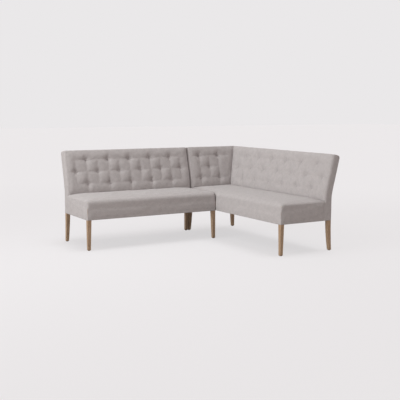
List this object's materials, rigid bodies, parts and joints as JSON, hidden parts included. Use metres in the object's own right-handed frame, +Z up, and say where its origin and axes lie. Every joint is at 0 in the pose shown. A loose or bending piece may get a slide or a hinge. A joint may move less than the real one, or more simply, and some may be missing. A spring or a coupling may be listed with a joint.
{
  "type": "upholstered corner banquette bench",
  "caption": "Corner banquette of two linked upholstered benches with curved button-tufted backs, plain padded seats and square tapered oak legs.",
  "frame": {"origin": "on the floor, under the middle of the overall bounding box", "axes": "+X along the straight bench towards the corner, +Y towards the wall behind it, +Z up"},
  "size_m": [2.0973, 1.7833, 0.912],
  "materials": {
    "cover_fabric": "woven melange, matt",
    "button_fabric": "woven melange, matt",
    "twine": "twisted, matt",
    "foam": "open cell, matt",
    "webbing": "woven, matt",
    "dust_cloth": "non-woven, matt",
    "oak": "oiled, satin",
    "beech": "planed, matt",
    "plywood": "sanded, matt",
    "zinc_steel": "zinc plated, satin",
    "glide_nylon": "moulded, matt"
  },
  "bodies": {
    "root": {"bench_seat_cover": "cover_fabric", "bench_back_cover": "cover_fabric", "bench_outside_back": "cover_fabric", "bench_buttons": "button_fabric", "bench_button_ties": "twine", "bench_seat_foam": "foam", "bench_back_foam": "foam", "bench_back_board": "plywood", "bench_webbing": "webbing", "bench_front_rail": "beech", "bench_rear_rail": "beech", "bench_end_rails": "beech", "bench_cross_rails": "beech", "bench_frame_blocks": "beech", "bench_lumbar_rail": "beech", "bench_top_rail": "beech", "bench_back_slats": "beech", "bench_front_leg_left": "oak", "bench_front_leg_right": "oak", "bench_rear_leg_left": "oak", "bench_rear_leg_right": "oak", "bench_dowels": "beech", "bench_leg_bolts": "zinc_steel", "bench_glides": "glide_nylon", "bench_dust_cover": "dust_cloth", "corner_seat_cover": "cover_fabric", "corner_long_back_cover": "cover_fabric", "corner_short_back_cover": "cover_fabric", "corner_long_outside_back": "cover_fabric", "corner_short_outside_back": "cover_fabric", "corner_long_buttons": "button_fabric", "corner_short_buttons": "button_fabric", "corner_button_ties": "twine", "corner_seat_foam": "foam", "corner_long_back_foam": "foam", "corner_short_back_foam": "foam", "corner_long_back_board": "plywood", "corner_short_back_board": "plywood", "corner_webbing": "webbing", "corner_front_rail": "beech", "corner_rear_rail": "beech", "corner_end_rails": "beech", "corner_cross_rails": "beech", "corner_frame_blocks": "beech", "corner_lumbar_rails": "beech", "corner_top_rails": "beech", "corner_back_slats": "beech", "corner_front_leg": "oak", "corner_side_leg": "oak", "corner_end_leg": "oak", "corner_rear_leg": "oak", "corner_dowels": "beech", "corner_leg_bolts": "zinc_steel", "corner_glides": "glide_nylon", "corner_dust_cover": "dust_cloth", "link_plates": "zinc_steel", "link_bolts": "zinc_steel"}
  },
  "joints": []
}
